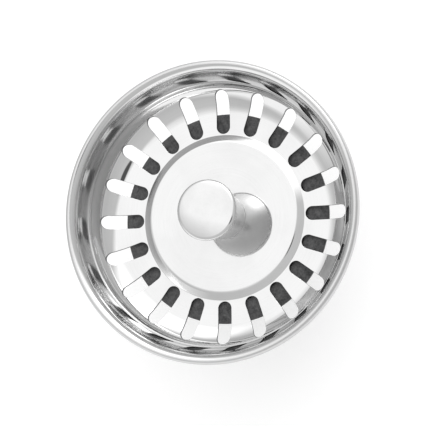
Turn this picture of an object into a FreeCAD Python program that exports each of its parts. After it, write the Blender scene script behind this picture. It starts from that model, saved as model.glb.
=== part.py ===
import FreeCAD, Part
import math
import os

import Sketcher

# Kitchen sink basket strainer: a deep-drawn slotted basket, a turned pull knob, and under it a
# rubber seal on a pressed plate, all clamped by one stud whose catch post snaps into the drain.
# Millimetres, +Z up along the basket's axis, origin at the centre of the rim's seating edge.

# Driving sizes, in millimetres, degrees and counts
sizes = {
    # Basket
    "rim_diameter": "79.6",
    "sheet_thickness": "0.7",
    "rim_flare_radius": "2.5",
    "rim_edge_radius": "0.9",
    "rim_edge_tilt": "20",
    "rim_lip_height": "0.93",
    "basket_depth": "11.5",
    "wall_lean": "1.5",
    "bend_radius": "10",
    "ring_width": "4.82",
    "plateau_rise": "0.45",
    "dish_radius": "350",
    "land_diameter": "13",
    "crest_radius": "2.5",
    "step_slope": "24",
    "foot_radius": "0.4",
    "slot_count": "20",
    "slot_width": "3.6",
    "slot_foot_gap": "0.2",
    "slot_bend_reach": "6.85",
    # Stud and its fits
    "stud_diameter": "6",
    "stud_chamfer": "0.6",
    "stud_end_gap": "0.5",
    "thread_clearance": "0.05",
    "hole_clearance": "0.15",
    # Pull knob
    "knob_base_diameter": "12",
    "knob_base_round": "0.4",
    "knob_base_band": "1.2",
    "knob_flare_radius": "24",
    "knob_head_diameter": "16",
    "knob_head_height": "14.5",
    "knob_lip_radius": "0.7",
    "knob_lip_under_angle": "60",
    "knob_shoulder_radius": "2.5",
    "knob_shoulder_tilt": "25",
    "knob_dome_radius": "36",
    "knob_bore_depth": "8.5",
    "drill_point_angle": "118",
    # Centre gasket
    "gasket_diameter": "18",
    "gasket_thickness": "1",
    # Seal plate
    "plate_diameter": "50",
    "plate_thickness": "0.8",
    "plate_centre_diameter": "21",
    "plate_step_run": "5",
    "plate_step_drop": "1.2",
    "plate_bend_radius": "1.2",
    # Rubber seal
    "seal_grip": "2.5",
    "seal_wall": "2.95",
    "seal_upper_lip": "1.3",
    "seal_top_bevel": "1.95",
    "seal_edge_drop": "1.5",
    "seal_edge_band": "0.8",
    "seal_base_bevel": "1.25",
    "seal_height": "3.4",
    "seal_round": "0.35",
    "groove_clearance": "0.05",
    # Clamp washer, lock washer and nut
    "washer_diameter": "14",
    "washer_thickness": "1.2",
    "lock_washer_diameter": "10.5",
    "lock_washer_thickness": "1.5",
    "lock_washer_split": "0.9",
    "lock_washer_split_lean": "20",
    "nut_width": "10",
    "nut_height": "3.2",
    "nut_chamfer_slope": "30",
    # Catch post
    "guide_diameter": "9",
    "guide_length": "9",
    "guide_chamfer": "0.5",
    "post_bore_depth": "7",
    "nose_diameter": "8.4",
    "nose_length": "8.5",
    "tip_diameter": "4.4",
    "tip_height": "2.4",
    "tip_round_radius": "4",
    # Catch balls and their spring
    "ball_diameter": "3.5",
    "ball_clearance": "0.05",
    "ball_mouth_diameter": "3.1",
    "ball_mouth_lip": "0.15",
    "ball_height": "5.5",
    "spring_mean_diameter": "2.3",
    "spring_wire_diameter": "0.4",
    "spring_turns": "3.25",
}

doc = FreeCAD.newDocument("SinkStrainer")
sheet = doc.addObject("Spreadsheet::Sheet", "Sizes")
for row, (alias, text) in enumerate(sizes.items(), start=1):
    sheet.set(f"A{row}", alias)
    sheet.set(f"B{row}", text)
    sheet.setAlias(f"B{row}", alias)
doc.recompute()

# Places that follow from the driving sizes. R stands for a radius from the axis, Z for a height.
layout = doc.addObject("App::VarSet", "Layout")


def place(name, expression):
    layout.addProperty("App::PropertyFloat", name)
    layout.setExpression(name, expression)
    layout.recompute()


def value(expression):
    return float(layout.evalExpression(expression))


# The sheet's upper surface, from the rim inwards to the flat slotted ring
place("ring_Z", "-Sizes.basket_depth")
place("rim_R", "Sizes.rim_diameter / 2")
place("edge_R", "Layout.rim_R - Sizes.rim_edge_radius")
place("flare_end_R", "Layout.edge_R - Sizes.rim_edge_radius * sin(Sizes.rim_edge_tilt)")
place("flare_end_Z", "Sizes.rim_lip_height + Sizes.rim_edge_radius * cos(Sizes.rim_edge_tilt)")
place("flare_R", "Layout.flare_end_R + Sizes.rim_flare_radius * sin(Sizes.rim_edge_tilt)")
place("flare_Z", "Layout.flare_end_Z - Sizes.rim_flare_radius * cos(Sizes.rim_edge_tilt)")
place("wall_top_R", "Layout.flare_R - Sizes.rim_flare_radius * cos(Sizes.wall_lean)")
place("wall_top_Z", "Layout.flare_Z + Sizes.rim_flare_radius * sin(Sizes.wall_lean)")
place("wall_foot_Z", "Layout.ring_Z + Sizes.bend_radius * (1 - sin(Sizes.wall_lean))")
place("wall_run", "(Layout.wall_top_Z - Layout.wall_foot_Z) * tan(Sizes.wall_lean)")
place("wall_foot_R", "Layout.wall_top_R - Layout.wall_run")
place("ring_edge_R", "Layout.wall_foot_R - Sizes.bend_radius * cos(Sizes.wall_lean)")
place("foot_R", "Layout.ring_edge_R - Sizes.ring_width")

# The step up to the dished plateau. The crest's arc touches both the dish and the step's slope, so its
# centre lies on a line along the slope. At the height of the dish's centre that line is crest_offset
# from the axis.
place("land_Z", "Layout.ring_Z + Sizes.plateau_rise")
place("hole_R", "Sizes.stud_diameter / 2 + Sizes.hole_clearance")
place("land_R", "Sizes.land_diameter / 2")
place("land_height", "sqrt(Sizes.dish_radius ^ 2 - Layout.land_R ^ 2)")
place("dish_Z", "Layout.land_Z + Layout.land_height")
place("slope_end_R", "Layout.foot_R - Sizes.foot_radius * sin(Sizes.step_slope)")
place("slope_end_Z", "Layout.ring_Z + Sizes.foot_radius * (1 - cos(Sizes.step_slope))")
place("crest_reach", "Sizes.dish_radius + Sizes.crest_radius")
place("slope_drop", "Layout.dish_Z + Sizes.crest_radius * cos(Sizes.step_slope) - Layout.slope_end_Z")
place("crest_offset", "Layout.slope_end_R - Sizes.crest_radius * sin(Sizes.step_slope)"
      " - Layout.slope_drop / tan(Sizes.step_slope)")
place("dish_angle", "90 - Sizes.step_slope"
      " + asin(Layout.crest_offset * sin(Sizes.step_slope) / Layout.crest_reach) / 1 deg")
place("plateau_R", "Sizes.dish_radius * sin(Layout.dish_angle)")
place("plateau_Z", "Layout.dish_Z - Sizes.dish_radius * cos(Layout.dish_angle)")
place("crest_R", "Layout.crest_reach * sin(Layout.dish_angle)")
place("crest_Z", "Layout.dish_Z - Layout.crest_reach * cos(Layout.dish_angle)")
place("slope_top_R", "Layout.crest_R + Sizes.crest_radius * sin(Sizes.step_slope)")
place("slope_top_Z", "Layout.crest_Z + Sizes.crest_radius * cos(Sizes.step_slope)")

# The stack clamped under the basket, from the top down
place("knob_bore_top_Z", "Layout.land_Z + Sizes.knob_bore_depth")
place("gasket_top_Z", "Layout.land_Z - Sizes.sheet_thickness")
place("plate_top_Z", "Layout.gasket_top_Z - Sizes.gasket_thickness")
place("flange_top_Z", "Layout.plate_top_Z - Sizes.plate_step_drop")
place("washer_top_Z", "Layout.plate_top_Z - Sizes.plate_thickness")
place("lock_washer_top_Z", "Layout.washer_top_Z - Sizes.washer_thickness")
place("nut_top_Z", "Layout.lock_washer_top_Z - Sizes.lock_washer_thickness")
place("post_top_Z", "Layout.nut_top_Z - Sizes.nut_height")
place("nose_top_Z", "Layout.post_top_Z - Sizes.guide_length")
place("tip_Z", "Layout.nose_top_Z - Sizes.nose_length")
place("ball_Z", "Layout.tip_Z + Sizes.ball_height")
place("thread_R", "Sizes.stud_diameter / 2 + Sizes.thread_clearance")
place("drill_point", "Layout.thread_R / tan(Sizes.drill_point_angle / 2)")

# The balls rest just behind the narrowed mouths of the cross bore, with the spring between them
place("ball_R", "Sizes.ball_diameter / 2")
place("bore_R", "Layout.ball_R + Sizes.ball_clearance")
place("mouth_R", "Sizes.ball_mouth_diameter / 2")
place("mouth_X", "Sizes.nose_diameter / 2 - Sizes.ball_mouth_lip")
place("ball_X", "Layout.mouth_X - sqrt(Layout.bore_R ^ 2 - Layout.mouth_R ^ 2)")
place("spring_R", "Sizes.spring_mean_diameter / 2")
place("spring_reach", "Layout.bore_R + Sizes.spring_wire_diameter / 2")
place("spring_end_X", "Layout.ball_X - sqrt(Layout.spring_reach ^ 2 - Layout.spring_R ^ 2)")

# An arc's centre lies to the left or to the right of the way along the outline
left, right = 1, -1


def origin_plane(body, role):
    return next(plane for plane in body.Origin.OriginFeatures if plane.Role == role)


def arc_between(start, end, radius, side):
    chord = end - start
    half = chord.Length / 2
    across = FreeCAD.Vector(-chord.y, chord.x, 0).normalize() * side
    rise = radius - math.sqrt(radius ** 2 - half ** 2)
    return Part.Arc(start, start + chord / 2 - across * rise, end)


def draw_outline(body, name, role, corners):
    """Closed outline whose corners are bound to the sizes. A corner is (x, y), or
    (x, y, radius, side) where the way to the next corner is an arc."""
    sketch = body.newObject("Sketcher::SketchObject", name)
    sketch.AttachmentSupport = [(origin_plane(body, role), "")]
    sketch.MapMode = "FlatFace"
    points = [FreeCAD.Vector(value(corner[0]), value(corner[1]), 0) for corner in corners]
    for index, corner in enumerate(corners):
        start, end = points[index], points[(index + 1) % len(points)]
        if len(corner) == 2:
            sketch.addGeometry(Part.LineSegment(start, end))
        else:
            sketch.addGeometry(arc_between(start, end, value(corner[2]), corner[3]))
    starts = [first_end(sketch, index, point) for index, point in enumerate(points)]
    for index, corner in enumerate(corners):
        after = (index + 1) % len(corners)
        sketch.addConstraint(Sketcher.Constraint(
            "Coincident", index, 3 - starts[index], after, starts[after]))
    for index, corner in enumerate(corners):
        for axis, kind in enumerate(("DistanceX", "DistanceY")):
            bind(sketch, (kind, -1, 1, index, starts[index]), corner[axis])
        if len(corner) > 2:
            bind(sketch, ("Radius", index), corner[2])
    return sketch


def first_end(sketch, index, point):
    """1 where the edge's own start lies at the point, 2 where its end does."""
    return 1 if sketch.getPoint(index, 1).distanceToPoint(point) < \
        sketch.getPoint(index, 2).distanceToPoint(point) else 2


def bind(sketch, parts, expression):
    index = sketch.addConstraint(Sketcher.Constraint(*parts, value(expression)))
    sketch.setExpression(f"Constraints[{index}]", expression)


def new_body(label):
    body = doc.addObject("PartDesign::Body", label)
    body.Label = label
    return body


def turned(label, corners):
    """A piece turned about the axis, from its half section in the XZ plane."""
    body = new_body(label)
    sketch = draw_outline(body, f"{label}_section", "XZ_Plane", corners)
    revolution = body.newObject("PartDesign::Revolution", f"{label}_turned")
    revolution.Profile = sketch
    revolution.ReferenceAxis = (sketch, ["V_Axis"])
    revolution.Angle = 360
    doc.recompute()
    return body


def cut_round(body, name, radius, height, half_length=None):
    """A round hole across the body along X at the height, through it or to half_length each way."""
    before = body.Shape.Volume
    sketch = body.newObject("Sketcher::SketchObject", f"{name}_circle")
    sketch.AttachmentSupport = [(origin_plane(body, "YZ_Plane"), "")]
    sketch.MapMode = "FlatFace"
    centre = FreeCAD.Vector(0, value(height), 0)
    sketch.addGeometry(Part.Circle(centre, FreeCAD.Vector(0, 0, 1), value(radius)))
    sketch.addConstraint(Sketcher.Constraint("PointOnObject", 0, 3, -2))
    bind(sketch, ("DistanceY", -1, 1, 0, 3), height)
    bind(sketch, ("Radius", 0), radius)
    pocket = body.newObject("PartDesign::Pocket", name)
    pocket.Profile = sketch
    pocket.SideType = "Symmetric"
    if half_length is None:
        pocket.Type = "ThroughAll"
    else:
        pocket.Type = "Length"
        pocket.setExpression("Length", f"2 * ({half_length})")
    doc.recompute()
    check_cut(body, name, before)


def check_cut(body, name, before):
    if body.Shape.Volume >= before:
        raise RuntimeError(f"{name} removes nothing from {body.Label}")


def round_rings(body, name, radius, rings):
    """Fillet of the body's circular edges that have the given radii and heights."""
    wanted = [(value(ring), value(height)) for ring, height in rings]
    base = body.Tip
    edges = []
    for index, edge in enumerate(base.Shape.Edges, start=1):
        if not isinstance(edge.Curve, Part.Circle):
            continue
        for ring, height in wanted:
            if math.isclose(edge.Curve.Radius, ring, rel_tol=1e-6) and \
                    math.isclose(edge.Curve.Center.z, height, rel_tol=1e-6):
                edges.append(f"Edge{index}")
    fillet = body.newObject("PartDesign::Fillet", name)
    fillet.Base = (base, edges)
    fillet.setExpression("Radius", radius)
    doc.recompute()


def make_basket():
    """Pressed sheet: dished plateau, step, slotted ring, deep bend, steep wall and flared rim."""
    gauge = "Sizes.sheet_thickness"
    body = turned("basket", [
        ("Layout.hole_R", "Layout.land_Z"),
        ("Layout.land_R", "Layout.land_Z", "Sizes.dish_radius", left),
        ("Layout.plateau_R", "Layout.plateau_Z", "Sizes.crest_radius", right),
        ("Layout.slope_top_R", "Layout.slope_top_Z"),
        ("Layout.slope_end_R", "Layout.slope_end_Z", "Sizes.foot_radius", left),
        ("Layout.foot_R", "Layout.ring_Z"),
        ("Layout.ring_edge_R", "Layout.ring_Z", "Sizes.bend_radius", left),
        ("Layout.wall_foot_R", "Layout.wall_foot_Z"),
        ("Layout.wall_top_R", "Layout.wall_top_Z", "Sizes.rim_flare_radius", right),
        ("Layout.flare_end_R", "Layout.flare_end_Z", "Sizes.rim_edge_radius", right),
        ("Layout.rim_R", "Sizes.rim_lip_height"),
        ("Layout.rim_R", "0"),
        (f"Layout.rim_R - {gauge}", "0"),
        (f"Layout.rim_R - {gauge}", "Sizes.rim_lip_height",
         f"Sizes.rim_edge_radius - {gauge}", left),
        (f"Layout.flare_end_R + {gauge} * sin(Sizes.rim_edge_tilt)",
         f"Layout.flare_end_Z - {gauge} * cos(Sizes.rim_edge_tilt)",
         f"Sizes.rim_flare_radius - {gauge}", left),
        (f"Layout.wall_top_R + {gauge} * cos(Sizes.wall_lean)",
         f"Layout.wall_top_Z - {gauge} * sin(Sizes.wall_lean)"),
        (f"Layout.wall_foot_R + {gauge} * cos(Sizes.wall_lean)",
         f"Layout.wall_foot_Z - {gauge} * sin(Sizes.wall_lean)",
         f"Sizes.bend_radius + {gauge}", right),
        ("Layout.ring_edge_R", f"Layout.ring_Z - {gauge}"),
        ("Layout.foot_R", f"Layout.ring_Z - {gauge}", f"Sizes.foot_radius + {gauge}", right),
        (f"Layout.slope_end_R - {gauge} * sin(Sizes.step_slope)",
         f"Layout.slope_end_Z - {gauge} * cos(Sizes.step_slope)"),
        (f"Layout.slope_top_R - {gauge} * sin(Sizes.step_slope)",
         f"Layout.slope_top_Z - {gauge} * cos(Sizes.step_slope)",
         f"Sizes.crest_radius - {gauge}", left),
        (f"Layout.plateau_R + {gauge} * sin(Layout.dish_angle)",
         f"Layout.plateau_Z - {gauge} * cos(Layout.dish_angle)",
         f"Sizes.dish_radius + {gauge}", right),
        (f"sqrt((Sizes.dish_radius + {gauge}) ^ 2 - (Layout.land_height + {gauge}) ^ 2)",
         f"Layout.land_Z - {gauge}"),
        ("Layout.hole_R", f"Layout.land_Z - {gauge}"),
    ])
    cut_slots(body)
    return body


def cut_slots(body):
    """Round-ended slots from the plateau's foot out into the bend, evenly round the ring."""
    before = body.Shape.Volume
    half = "Sizes.slot_width / 2"
    inner = f"Layout.foot_R + Sizes.slot_foot_gap + {half}"
    outer = f"Layout.ring_edge_R + Sizes.slot_bend_reach - {half}"
    sketch = draw_outline(body, "slot_outline", "XY_Plane", [
        (inner, f"-{half}"),
        (outer, f"-{half}", half, left),
        (f"{outer} + {half}", "0", half, left),
        (outer, half),
        (inner, half, half, left),
        (f"{inner} - {half}", "0", half, left),
    ])
    pocket = body.newObject("PartDesign::Pocket", "slot")
    pocket.Profile = sketch
    pocket.Type = "ThroughAll"
    doc.recompute()
    check_cut(body, "slot", before)
    pattern = body.newObject("PartDesign::PolarPattern", "slots_round_the_ring")
    pattern.Originals = [pocket]
    pattern.Axis = (sketch, ["N_Axis"])
    pattern.Angle = 360
    pattern.setExpression("Occurrences", "Sizes.slot_count")
    body.Tip = pattern
    doc.recompute()


def make_pull_knob():
    """Solid mushroom knob: waisted neck, rounded lip, soft shoulder and a low dome, drilled from below."""
    head = "Sizes.knob_head_diameter / 2"
    lip_R = f"({head} - Sizes.knob_lip_radius)"
    lip_Z = "(Layout.land_Z + Sizes.knob_head_height)"
    under = "Sizes.knob_lip_under_angle"
    tilt = "Sizes.knob_shoulder_tilt"
    rounder = "(Sizes.knob_shoulder_radius - Sizes.knob_lip_radius)"
    place("shoulder_R", f"{lip_R} - {rounder} * sin({tilt})")
    place("shoulder_Z", f"{lip_Z} - {rounder} * cos({tilt})")
    place("dome_reach", "Sizes.knob_dome_radius - Sizes.knob_shoulder_radius")
    place("dome_angle", "acos(Layout.shoulder_R / Layout.dome_reach) / 1 deg")
    dome_drop = "Layout.dome_reach * sin(Layout.dome_angle)"
    place("knob_top_Z", f"Layout.shoulder_Z + Sizes.knob_dome_radius - {dome_drop}")
    base = "Sizes.knob_base_diameter / 2"
    return turned("pull_knob", [
        ("Layout.thread_R", "Layout.land_Z"),
        (f"{base} - Sizes.knob_base_round", "Layout.land_Z", "Sizes.knob_base_round", left),
        (base, "Layout.land_Z + Sizes.knob_base_round"),
        (base, "Layout.land_Z + Sizes.knob_base_band", "Sizes.knob_flare_radius", right),
        (f"{lip_R} + Sizes.knob_lip_radius * cos({under})",
         f"{lip_Z} - Sizes.knob_lip_radius * sin({under})", "Sizes.knob_lip_radius", left),
        (f"{lip_R} + Sizes.knob_lip_radius * sin({tilt})",
         f"{lip_Z} + Sizes.knob_lip_radius * cos({tilt})", "Sizes.knob_shoulder_radius", left),
        ("Layout.shoulder_R + Sizes.knob_shoulder_radius * cos(Layout.dome_angle)",
         "Layout.shoulder_Z + Sizes.knob_shoulder_radius * sin(Layout.dome_angle)",
         "Sizes.knob_dome_radius", left),
        ("0", "Layout.knob_top_Z"),
        ("0", "Layout.knob_bore_top_Z + Layout.drill_point"),
        ("Layout.thread_R", "Layout.knob_bore_top_Z"),
    ])


def make_knob_stud():
    """Plain core of the threaded stud that joins knob and post, chamfered at both ends."""
    radius = "Sizes.stud_diameter / 2"
    top = "Layout.knob_bore_top_Z - Sizes.stud_end_gap"
    foot = "Layout.post_top_Z - Sizes.post_bore_depth + Sizes.stud_end_gap"
    return turned("knob_stud", [
        ("0", foot),
        (f"{radius} - Sizes.stud_chamfer", foot),
        (radius, f"{foot} + Sizes.stud_chamfer"),
        (radius, f"{top} - Sizes.stud_chamfer"),
        (f"{radius} - Sizes.stud_chamfer", top),
        ("0", top),
    ])


def make_ring(label, diameter, top, thickness):
    """A flat ring round the stud, such as a gasket or a washer."""
    return turned(label, [
        ("Layout.hole_R", f"{top} - {thickness}"),
        (f"{diameter} / 2", f"{top} - {thickness}"),
        (f"{diameter} / 2", top),
        ("Layout.hole_R", top),
    ])


def make_seal_plate():
    """Pressed disc: its raised centre nests under the plateau, its flange carries the seal."""
    centre = "Sizes.plate_centre_diameter / 2"
    step_end = f"{centre} + Sizes.plate_step_run"
    edge = "Sizes.plate_diameter / 2"
    gauge = "Sizes.plate_thickness"
    body = turned("seal_plate", [
        ("Layout.hole_R", f"Layout.plate_top_Z - {gauge}"),
        (centre, f"Layout.plate_top_Z - {gauge}"),
        (step_end, f"Layout.flange_top_Z - {gauge}"),
        (edge, f"Layout.flange_top_Z - {gauge}"),
        (edge, "Layout.flange_top_Z"),
        (step_end, "Layout.flange_top_Z"),
        (centre, "Layout.plate_top_Z"),
        ("Layout.hole_R", "Layout.plate_top_Z"),
    ])
    round_rings(body, "inner_bends", "Sizes.plate_bend_radius", [
        (centre, f"Layout.plate_top_Z - {gauge}"), (step_end, "Layout.flange_top_Z")])
    round_rings(body, "outer_bends", f"Sizes.plate_bend_radius + {gauge}", [
        (centre, "Layout.plate_top_Z"), (step_end, f"Layout.flange_top_Z - {gauge}")])
    return body


def make_rubber_seal():
    """Rubber ring with a groove that grips the plate's flange, widest at its sealing edge."""
    bore = "Sizes.plate_diameter / 2 - Sizes.seal_grip"
    groove = "Sizes.plate_diameter / 2 + Sizes.groove_clearance"
    edge = "Sizes.plate_diameter / 2 + Sizes.seal_wall"
    groove_top = "Layout.flange_top_Z + Sizes.groove_clearance"
    groove_foot = "Layout.flange_top_Z - Sizes.plate_thickness - Sizes.groove_clearance"
    place("seal_top_Z", f"{groove_top} + Sizes.seal_upper_lip")
    place("seal_edge_Z", "Layout.seal_top_Z - Sizes.seal_edge_drop")
    place("seal_foot_Z", "Layout.seal_top_Z - Sizes.seal_height")
    outside = [
        (f"{edge} - Sizes.seal_base_bevel", "Layout.seal_foot_Z"),
        (edge, "Layout.seal_edge_Z - Sizes.seal_edge_band"),
        (edge, "Layout.seal_edge_Z"),
        (f"{edge} - Sizes.seal_top_bevel", "Layout.seal_top_Z"),
    ]
    body = turned("rubber_seal", [
        (bore, "Layout.seal_foot_Z"),
        *outside,
        (bore, "Layout.seal_top_Z"),
        (bore, groove_top),
        (groove, groove_top),
        (groove, groove_foot),
        (bore, groove_foot),
    ])
    round_rings(body, "moulded_edges", "Sizes.seal_round", outside)
    return body


def make_lock_washer():
    """Spring washer, flattened by the nut, with its leaning split on the -Y side."""
    thickness = "Sizes.lock_washer_thickness"
    radius = "Sizes.lock_washer_diameter / 2"
    body = make_ring("lock_washer", "Sizes.lock_washer_diameter", "Layout.lock_washer_top_Z", thickness)
    before = body.Shape.Volume
    top = "Layout.lock_washer_top_Z"
    foot = f"{top} - {thickness}"
    half = "Sizes.lock_washer_split / 2"
    lean = f"{thickness} / 2 * tan(Sizes.lock_washer_split_lean)"
    split = draw_outline(body, "split_outline", "XZ_Plane", [
        (f"-{half} - {lean}", foot),
        (f"{half} - {lean}", foot),
        (f"{half} + {lean}", top),
        (f"-{half} + {lean}", top),
    ])
    pocket = body.newObject("PartDesign::Pocket", "split")
    pocket.Profile = split
    pocket.Type = "Length"
    pocket.Reversed = True
    pocket.setExpression("Length", radius)
    doc.recompute()
    check_cut(body, "split", before)
    return body


def make_clamp_nut():
    """Thin hexagon nut with turned corners, flats facing +Y and -Y."""
    body = new_body("clamp_nut")
    corner = "Sizes.nut_width / sqrt(3)"
    flat = "Sizes.nut_width / 2"
    sketch = draw_outline(body, "nut_hexagon", "XY_Plane", [
        (corner, "0"),
        (f"{corner} / 2", flat),
        (f"-{corner} / 2", flat),
        (f"-{corner}", "0"),
        (f"-{corner} / 2", f"-{flat}"),
        (f"{corner} / 2", f"-{flat}"),
    ])
    sketch.setExpression("AttachmentOffset.Base.z", "Layout.post_top_Z")
    pad = body.newObject("PartDesign::Pad", "nut_blank")
    pad.Profile = sketch
    pad.setExpression("Length", "Sizes.nut_height")
    doc.recompute()
    turn_away(body, "nut_bore", [
        ("0", "Layout.post_top_Z"),
        ("Layout.thread_R", "Layout.post_top_Z"),
        ("Layout.thread_R", "Layout.nut_top_Z"),
        ("0", "Layout.nut_top_Z"),
    ])
    drop = f"({corner} - {flat}) * tan(Sizes.nut_chamfer_slope)"
    turn_away(body, "upper_corners", [
        (flat, "Layout.nut_top_Z"),
        (corner, f"Layout.nut_top_Z - {drop}"),
        (corner, "Layout.nut_top_Z"),
    ])
    turn_away(body, "lower_corners", [
        (flat, "Layout.post_top_Z"),
        (corner, "Layout.post_top_Z"),
        (corner, f"Layout.post_top_Z + {drop}"),
    ])
    return body


def turn_away(body, name, corners):
    """Groove turned all round the axis."""
    before = body.Shape.Volume
    sketch = draw_outline(body, f"{name}_section", "XZ_Plane", corners)
    groove = body.newObject("PartDesign::Groove", name)
    groove.Profile = sketch
    groove.ReferenceAxis = (sketch, ["V_Axis"])
    groove.Angle = 360
    doc.recompute()
    check_cut(body, name, before)


def make_catch_post():
    """Turned post: tapped top, guide for the drain's socket, and a nose with the ball bore."""
    guide = "Sizes.guide_diameter / 2"
    nose = "Sizes.nose_diameter / 2"
    tip = "Sizes.tip_diameter / 2"
    bore_foot = "Layout.post_top_Z - Sizes.post_bore_depth"
    body = turned("catch_post", [
        ("0", "Layout.tip_Z"),
        (tip, "Layout.tip_Z", "Sizes.tip_round_radius", left),
        (nose, "Layout.tip_Z + Sizes.tip_height"),
        (nose, f"Layout.nose_top_Z - {guide} + {nose}"),
        (guide, "Layout.nose_top_Z"),
        (guide, "Layout.post_top_Z - Sizes.guide_chamfer"),
        (f"{guide} - Sizes.guide_chamfer", "Layout.post_top_Z"),
        ("Layout.thread_R", "Layout.post_top_Z"),
        ("Layout.thread_R", bore_foot),
        ("0", f"{bore_foot} - Layout.drill_point"),
    ])
    cut_round(body, "ball_bore", "Layout.bore_R", "Layout.ball_Z", "Layout.mouth_X")
    cut_round(body, "ball_mouths", "Layout.mouth_R", "Layout.ball_Z")
    return body


def make_catch_ball(label, side):
    """A steel ball that stands proud of the post's nose on one side."""
    ball = doc.addObject("Part::Sphere", label)
    ball.Label = label
    ball.setExpression("Radius", "Layout.ball_R")
    ball.setExpression("Placement.Base.x", f"{side} * Layout.ball_X")
    ball.setExpression("Placement.Base.z", "Layout.ball_Z")
    return ball


def biarc(start, start_way, end, end_way):
    """Two arcs that leave start along start_way and reach end along end_way."""
    chord = end - start
    ways = start_way + end_way
    bend = 2 * (1 - start_way.dot(end_way))
    along = chord.dot(ways)
    reach = (math.sqrt(along ** 2 + bend * chord.dot(chord)) - along) / bend
    middle = (start + end + (start_way - end_way) * reach) / 2
    return [tangent_arc(start, start_way, middle), tangent_arc(end, end_way * -1, middle)]


def tangent_arc(start, way, end):
    chord = end - start
    half_turn = chord.getAngle(way)
    across = (way * chord.Length - chord * math.cos(half_turn)).normalize()
    rise = chord.Length / 2 * math.tan(half_turn / 2)
    return Part.Arc(start, start + chord / 2 + across * rise, end).toShape()


def make_catch_spring():
    """Coil of round wire between the two balls, wound about X from quarter turns."""
    radius = value("Layout.spring_R")
    end = value("Layout.spring_end_X")
    height = value("Layout.ball_Z")
    wire = value("Sizes.spring_wire_diameter / 2")
    turns = value("Sizes.spring_turns")
    pitch = 2 * end / turns
    quarters = round(4 * turns)

    def point(turn):
        angle = 2 * math.pi * turn
        return FreeCAD.Vector(
            pitch * turn - end, radius * math.cos(angle), height + radius * math.sin(angle))

    def way(turn):
        angle = 2 * math.pi * turn
        around = 2 * math.pi * radius
        return FreeCAD.Vector(pitch, -around * math.sin(angle), around * math.cos(angle)).normalize()

    steps = [turns * step / quarters for step in range(quarters + 1)]
    arcs = []
    for first, last in zip(steps, steps[1:]):
        arcs += biarc(point(first), way(first), point(last), way(last))
    path = Part.Wire([edge for edge in Part.__sortEdges__(arcs)])
    section = Part.Wire([Part.Circle(point(0), way(0), wire).toShape()])
    coil = doc.addObject("Part::Feature", "catch_spring")
    coil.Label = "catch_spring"
    coil.Shape = path.makePipeShell([section], True, False)
    print_least_gap(point, turns, wire)
    return coil


def print_least_gap(point, turns, wire):
    """Least gap between turns, from points that lie at least half a turn apart along the wire."""
    per_turn = 48
    count = int(turns * per_turn)
    points = [point(step / per_turn) for step in range(count + 1)]
    apart = min(
        first.distanceToPoint(second)
        for index, first in enumerate(points)
        for second in points[index + per_turn // 2:])
    print(f"catch_spring: least gap between turns {apart - 2 * wire:.2f} mm")


pieces = [
    make_basket(),
    make_pull_knob(),
    make_knob_stud(),
    make_ring("centre_gasket", "Sizes.gasket_diameter", "Layout.gasket_top_Z", "Sizes.gasket_thickness"),
    make_seal_plate(),
    make_rubber_seal(),
    make_ring("clamp_washer", "Sizes.washer_diameter", "Layout.washer_top_Z", "Sizes.washer_thickness"),
    make_lock_washer(),
    make_clamp_nut(),
    make_catch_post(),
    make_catch_ball("catch_ball_left", -1),
    make_catch_ball("catch_ball_right", 1),
    make_catch_spring(),
]
doc.recompute()

for item in doc.Objects:
    if "Invalid" in item.State or "Error" in item.State:
        raise RuntimeError(f"{item.Label} failed: {item.State}")
for piece in pieces:
    if piece.Shape.isNull() or not piece.Shape.isValid():
        raise RuntimeError(f"{piece.Label} has no valid shape")

os.makedirs("parts", exist_ok=True)
for piece in pieces:
    piece.Shape.exportStep(f"parts/{piece.Label}.step")
    box = piece.Shape.optimalBoundingBox(True)
    print(f"{piece.Label}: {len(piece.Shape.Solids)} solid, {piece.Shape.Volume:.1f} mm3, "
          f"Z {box.ZMin:.2f} to {box.ZMax:.2f}, R {box.XMax:.2f}")
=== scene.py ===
import math

import bpy
import numpy as np
from mathutils import Matrix, Vector


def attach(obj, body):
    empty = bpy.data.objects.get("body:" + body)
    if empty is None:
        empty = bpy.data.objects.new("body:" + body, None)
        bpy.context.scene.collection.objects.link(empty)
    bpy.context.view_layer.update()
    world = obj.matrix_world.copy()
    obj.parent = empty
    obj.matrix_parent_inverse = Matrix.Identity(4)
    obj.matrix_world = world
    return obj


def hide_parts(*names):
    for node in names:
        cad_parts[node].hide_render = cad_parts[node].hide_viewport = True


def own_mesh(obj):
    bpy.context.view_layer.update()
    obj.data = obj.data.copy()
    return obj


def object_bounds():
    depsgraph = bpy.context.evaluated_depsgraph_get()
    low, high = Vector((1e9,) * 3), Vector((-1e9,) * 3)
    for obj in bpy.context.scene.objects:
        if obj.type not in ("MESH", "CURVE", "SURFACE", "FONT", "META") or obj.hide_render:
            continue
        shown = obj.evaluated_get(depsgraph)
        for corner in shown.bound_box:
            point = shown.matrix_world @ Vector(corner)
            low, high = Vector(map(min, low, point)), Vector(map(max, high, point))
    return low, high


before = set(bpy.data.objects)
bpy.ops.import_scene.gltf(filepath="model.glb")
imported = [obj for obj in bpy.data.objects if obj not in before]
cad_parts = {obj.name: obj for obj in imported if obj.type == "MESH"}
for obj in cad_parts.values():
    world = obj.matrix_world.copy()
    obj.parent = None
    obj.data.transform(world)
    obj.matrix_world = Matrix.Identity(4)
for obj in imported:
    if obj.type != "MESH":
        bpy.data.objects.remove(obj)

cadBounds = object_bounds()
mm = 0.001
mainBody = "strainer"
plainWhite = (1, 1, 1, 1)
print("frame loaded:", len(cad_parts), "nodes")


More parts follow.
